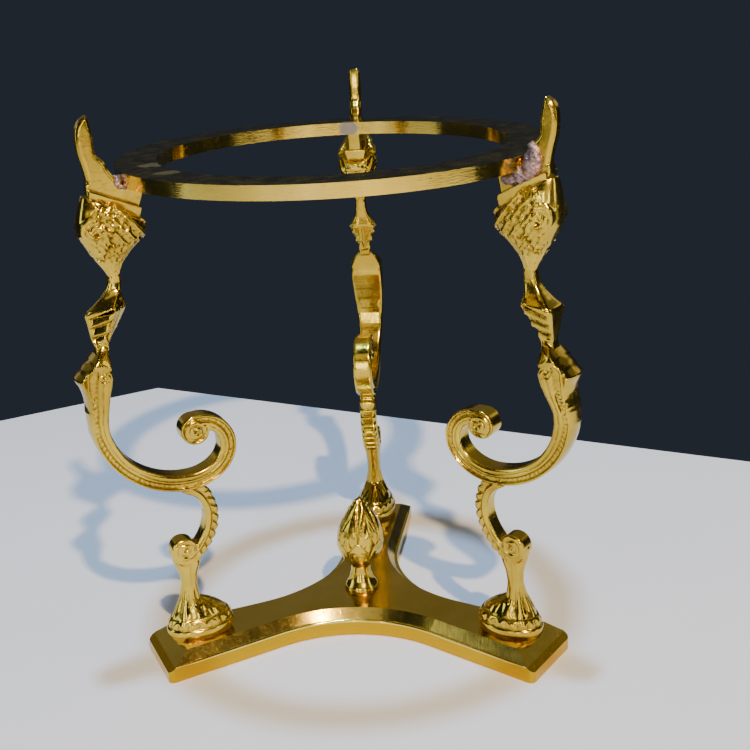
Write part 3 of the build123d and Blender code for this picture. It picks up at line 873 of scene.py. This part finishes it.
def brass(name, bright, deep, shine, hollow_dark=0.0, pits=0.2, wave=0.25, lines=(1, 0.12, 0.3)):
    """Polished brass: uneven colour, polishing lines, pits, smears, and a darker, rougher colour in the
    hollows.
    """
    n = Nodes(name)
    cloud = n.noise(60, 5)
    fine = n.noise(900, 3)
    colour = n.mix(n.span(cloud, 0.35, 0.68), bright, deep)
    smear = n.noise(220, 6, 0.6, (1, 1, 0.35))
    rough = n.math("ADD", n.span(smear, 0.35, 0.7, shine[0], shine[1]), n.span(fine, 0.5, 0.75, 0, 0.06))
    # darker, rougher brass where pointiness finds a hollow
    if hollow_dark:
        edge = n.add("ShaderNodeNewGeometry").outputs["Pointiness"]
        patchy = n.math("ADD", edge, n.math("MULTIPLY", n.math("SUBTRACT", n.noise(500, 4), 0.5), 0.05))
        hollow = n.span(patchy, 0.494, 0.445, 0, hollow_dark)
        colour = n.mix(hollow, colour, (0.10, 0.045, 0.006, 1))
        rough = n.math("ADD", rough, n.math("MULTIPLY", hollow, 0.3))
    n.set(n.shader.inputs["Base Color"], colour)
    n.set(n.shader.inputs["Roughness"], rough)
    n.shader.inputs["Metallic"].default_value = 1.0
    soft = n.bump(n.noise(150, 3), wave, 0.0003)
    polish = n.bump(n.noise(1400, 2, 0.5, lines), 0.06, 0.0002, soft)
    speck = n.bump(n.span(n.noise(650, 2), 0.68, 0.82), pits, -0.0002, polish)
    n.set(n.shader.inputs["Normal"], speck)
    return n


def stain(n, place_at, reach, colour, strength, ragged=300):
    """Blends a dull, ragged patch about one place into a material."""
    away = n.add("ShaderNodeVectorMath", operation="DISTANCE")
    n.set(away.inputs[0], n.where)
    away.inputs[1].default_value = place_at
    uneven = n.math("MULTIPLY", n.math("SUBTRACT", n.noise(ragged, 4), 0.5), reach)
    edge = n.math("ADD", away.outputs["Value"], uneven)
    patch = n.span(edge, reach, reach * 0.7, 0, strength)
    colour_socket, rough_socket = n.shader.inputs["Base Color"], n.shader.inputs["Roughness"]
    n.set(colour_socket, n.mix(patch, colour_socket.links[0].from_socket, colour))
    n.set(rough_socket, n.math("ADD", rough_socket.links[0].from_socket, n.math("MULTIPLY", patch, 0.3)))


def paint_reflection_below(n, height, colour):
    """Deepens a material's colour below one height: a painted warm reflection on a lower face."""
    level = n.add("ShaderNodeSeparateXYZ")
    n.set(level.inputs[0], n.where)
    low = n.span(level.outputs["Z"], height, height - 0.0003, 0, 1)
    before = n.shader.inputs["Base Color"].links[0].from_socket
    n.set(n.shader.inputs["Base Color"], n.mix(low, before, colour))


def braze_material():
    n = Nodes("braze_metal")
    cloud = n.noise(260, 5)
    colour = n.mix(n.span(cloud, 0.38, 0.62), (0.20, 0.155, 0.20, 1), (0.44, 0.29, 0.27, 1))
    dark = n.span(n.noise(900, 4), 0.52, 0.66, 0, 0.8)
    n.set(n.shader.inputs["Base Color"], n.mix(dark, colour, (0.07, 0.055, 0.08, 1)))
    n.set(n.shader.inputs["Roughness"], n.span(cloud, 0.3, 0.7, 0.32, 0.6))
    n.shader.inputs["Metallic"].default_value = 0.8
    n.set(n.shader.inputs["Normal"], n.bump(n.noise(1500, 4), 0.6, 0.0004))
    return n.material


def steel_material():
    n = Nodes("screw_steel")
    n.set(n.shader.inputs["Base Color"], n.mix(n.noise(300, 4), (0.42, 0.41, 0.40, 1), (0.58, 0.57, 0.55, 1)))
    n.set(n.shader.inputs["Roughness"], n.span(n.noise(1200, 3, 0.6, (1, 0.1, 1)), 0.3, 0.7, 0.25, 0.45))
    n.shader.inputs["Metallic"].default_value = 1.0
    n.set(n.shader.inputs["Normal"], n.bump(n.noise(1600, 2, 0.5, (1, 0.1, 1)), 0.15, 0.0002))
    return n.material


def dress(obj, material):
    obj.data.materials.clear()
    obj.data.materials.append(material)


# ---------------------------------------------------------------- the stage: floor, light and camera
def make_floor():
    mesh = bpy.data.meshes.new("floor")
    corners = [(-0.1183, 0.2068, 0), (0.85, -0.175, 0), (0.85, -1.3, 0), (-1.2, -1.3, 0), (-1.2, -0.478, 0)]
    mesh.from_pydata(corners, [], [tuple(range(len(corners)))[::-1]])
    floor = bpy.data.objects.new("floor", mesh)
    bpy.context.scene.collection.objects.link(floor)
    n = Nodes("floor")
    n.set(n.shader.inputs["Base Color"], n.mix(n.noise(9, 3), (0.66, 0.71, 0.88, 1), (0.72, 0.77, 0.91, 1)))
    n.shader.inputs["Roughness"].default_value = 0.7
    dress(floor, n.material)


def make_light(name, place_at, target, size, power, colour):
    light = bpy.data.lights.new(name, "AREA")
    light.shape = "RECTANGLE"
    light.size, light.size_y = size
    light.energy = power
    light.color = colour
    obj = bpy.data.objects.new(name, light)
    obj.location = place_at
    obj.rotation_euler = (Vector(target) - Vector(place_at)).to_track_quat("-Z", "Y").to_euler()
    bpy.context.scene.collection.objects.link(obj)


def make_lights():
    world = bpy.data.worlds.new("room")
    world.use_nodes = True
    world.node_tree.nodes["Background"].inputs["Color"].default_value = (0.019, 0.024, 0.034, 1)
    world.node_tree.nodes["Background"].inputs["Strength"].default_value = 1.0
    bpy.context.scene.world = world
    middle = (0, 0, 0.07)
    make_light("key", (0.36, -0.90, 1.03), middle, (0.035, 0.035), 28, (1.0, 0.72, 0.38))
    make_light("over", (0.0, -0.02, 1.2), middle, (0.07, 0.07), 11, (0.50, 0.75, 1.0))
    make_light("room", (-0.25, -1.5, 0.50), middle, (1.6, 0.7), 2.0, (1.0, 0.94, 0.80))
    make_light("behind", (0, 1.06, 1.13), middle, (5.0, 1.7), 4.2, (1.0, 0.90, 0.66))
    make_light("back_right", (1.12, 0.97, 0.67), middle, (0.6, 0.3), 0.36, (1.0, 0.95, 0.75))
    make_light("back_left", (-1.15, 1.08, 0.35), middle, (0.5, 0.25), 0.18, (1.0, 0.95, 0.75))
    make_light("front_high", (0.0, -0.93, 1.23), middle, (1.2, 0.4), 0.8, (1.0, 0.97, 0.88))
    make_light("left", (-1.0, -0.25, 0.40), middle, (0.25, 0.6), 1.6, (0.72, 0.86, 1.0))
    make_light("right", (1.05, -0.35, 0.35), middle, (0.16, 0.5), 1.0, (1.0, 0.95, 0.85))
    for n, (x, wide) in enumerate(((-0.62, 0.10), (-0.12, 0.05), (0.55, 0.08))):
        make_light(f"strip_{n}", (x, -1.25, 0.30), middle, (wide, 0.5), 1.3, (1.0, 0.97, 0.88))


def make_camera():
    azimuth, elevation, roll = radians(6.01), radians(18.92), radians(-3.40)
    back = Vector((sin(azimuth) * cos(elevation), -cos(azimuth) * cos(elevation), sin(elevation)))
    right = (-back).cross(Vector((0, 0, 1))).normalized()
    up = right.cross(-back)
    tilted_right = right * cos(roll) + up * sin(roll)
    tilted_up = up * cos(roll) - right * sin(roll)
    turn = Matrix((tilted_right, tilted_up, back)).transposed().to_4x4()
    data = bpy.data.cameras.new("camera")
    data.sensor_width = 36.0
    data.lens = 57.93
    camera = bpy.data.objects.new("camera", data)
    camera.matrix_world = Matrix.Translation(Vector((0.04186, -0.3239, 0.1867))) @ turn
    bpy.context.scene.collection.objects.link(camera)
    bpy.context.scene.camera = camera


legs = make_legs()
finial = make_finial()
brazes = [make_braze(name) for name in LEG_ANGLES]
beads = make_beads()

gold, deep_gold = (0.72, 0.52, 0.062, 1), (0.46, 0.30, 0.028, 1)
leg_brass = brass("leg_brass", gold, deep_gold, (0.10, 0.27), hollow_dark=0.95, pits=0.35, wave=0.4).material
finial_brass = brass("finial_brass", gold, deep_gold, (0.10, 0.26), hollow_dark=0.97, pits=0.3, wave=0.35).material
ring_look = brass(
    "ring_brass", gold, (0.68, 0.50, 0.10, 1), (0.07, 0.17), pits=0.10, wave=0.06, lines=(0.3, 0.3, 2)
)
stain(ring_look, (-0.001, 0.0470, 0.1387), 0.0032, (0.20, 0.18, 0.19, 1), 0.9)
stain(ring_look, (-0.0440, -0.0205, 0.1405), 0.0042, (0.50, 0.48, 0.42, 1), 0.55, 700)
stain(ring_look, (-0.0370, -0.0340, 0.1405), 0.0036, (0.50, 0.48, 0.42, 1), 0.45, 700)
ring_brass = ring_look.material
base_look = brass(
    "base_brass", (0.76, 0.56, 0.12, 1), (0.64, 0.45, 0.07, 1), (0.14, 0.20), pits=0.2, wave=0.05
)
# painted reflection: the base's lower side face is coloured deeper orange, as if the warm table showed in it
paint_reflection_below(base_look, BEVEL_FOOT * MM, (0.56, 0.34, 0.004, 1))
base_brass = base_look.material
braze_metal = braze_material()
# painted highlight: the beads are brighter, paler brass than the base, to show the bright line at the foot of
# the bevel
bead_highlight_brass = brass(
    "bead_highlight_brass", (0.90, 0.72, 0.16, 1), (0.78, 0.58, 0.09, 1), (0.10, 0.16), pits=0.1, wave=0.05
).material
steel = steel_material()

for leg in legs:
    dress(leg, leg_brass)
dress(finial, finial_brass)
for braze in brazes:
    dress(braze, braze_metal)
for bead in beads:
    dress(bead, bead_highlight_brass)
for name, node in NODES.items():
    if name == "ring":
        dress(node, ring_brass)
    elif name == "base_plate":
        dress(node, base_brass)
    elif name.startswith(("leg_screw", "washer")):
        dress(node, steel)

make_floor()
make_lights()
make_camera()
